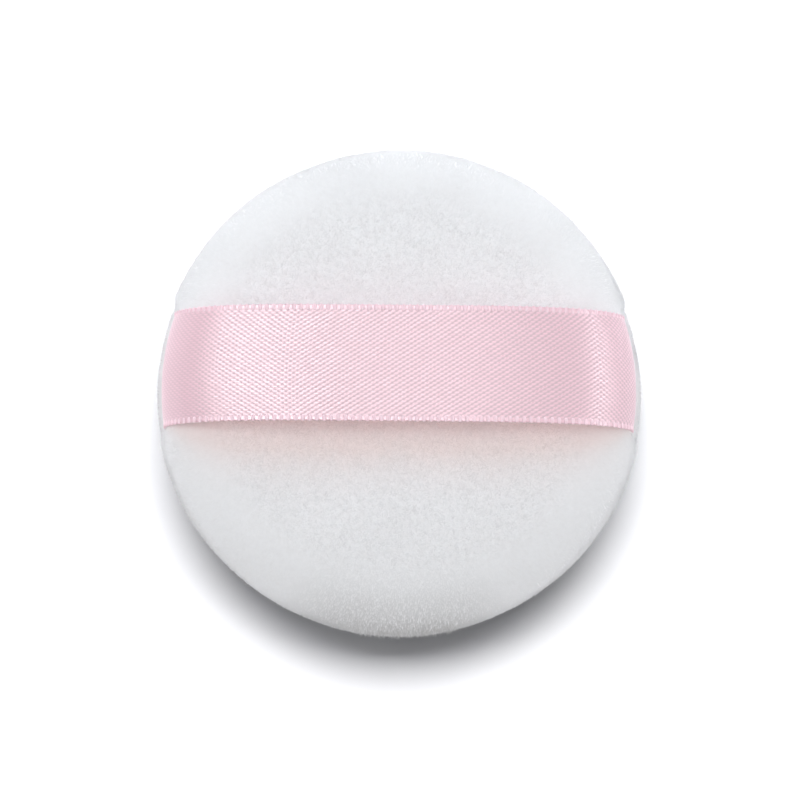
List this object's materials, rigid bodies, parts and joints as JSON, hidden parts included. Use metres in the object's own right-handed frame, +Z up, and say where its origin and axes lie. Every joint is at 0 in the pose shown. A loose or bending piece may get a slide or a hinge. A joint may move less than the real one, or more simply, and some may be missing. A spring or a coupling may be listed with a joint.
{
  "type": "powder puff",
  "caption": "Round velour powder puff with a foam core, lying on its applicator face, with a satin ribbon arched across its crowned back as a finger loop.",
  "frame": {"origin": "middle of the flat patch on the applicator face, which the puff lies on", "axes": "+Z up through the pad to the ribbon, +X along the ribbon, +Y across it, towards the side that the ribbon is sewn nearer to"},
  "size_m": [0.061, 0.061, 0.0211],
  "materials": {
    "velour": "white short-pile velour, soft and matt",
    "foam": "open-cell foam, matt",
    "satin": "pale pink woven satin with a soft lustre",
    "thread": "white sewing thread"
  },
  "bodies": {
    "pad": {"upper_cover": "velour", "lower_cover": "velour", "foam_core": "foam", "ribbon_left_end": "satin", "ribbon_right_end": "satin", "seam_needle_thread": "thread", "seam_bobbin_thread": "thread", "closing_thread": "thread"},
    "ribbon": {"ribbon_band": "satin"}
  },
  "joints": [
    {"name": "ribbon_lift", "type": "slide", "parent": "pad", "child": "ribbon", "axis": [0, 0, 1], "range_m": [0, 0.0035]}
  ]
}
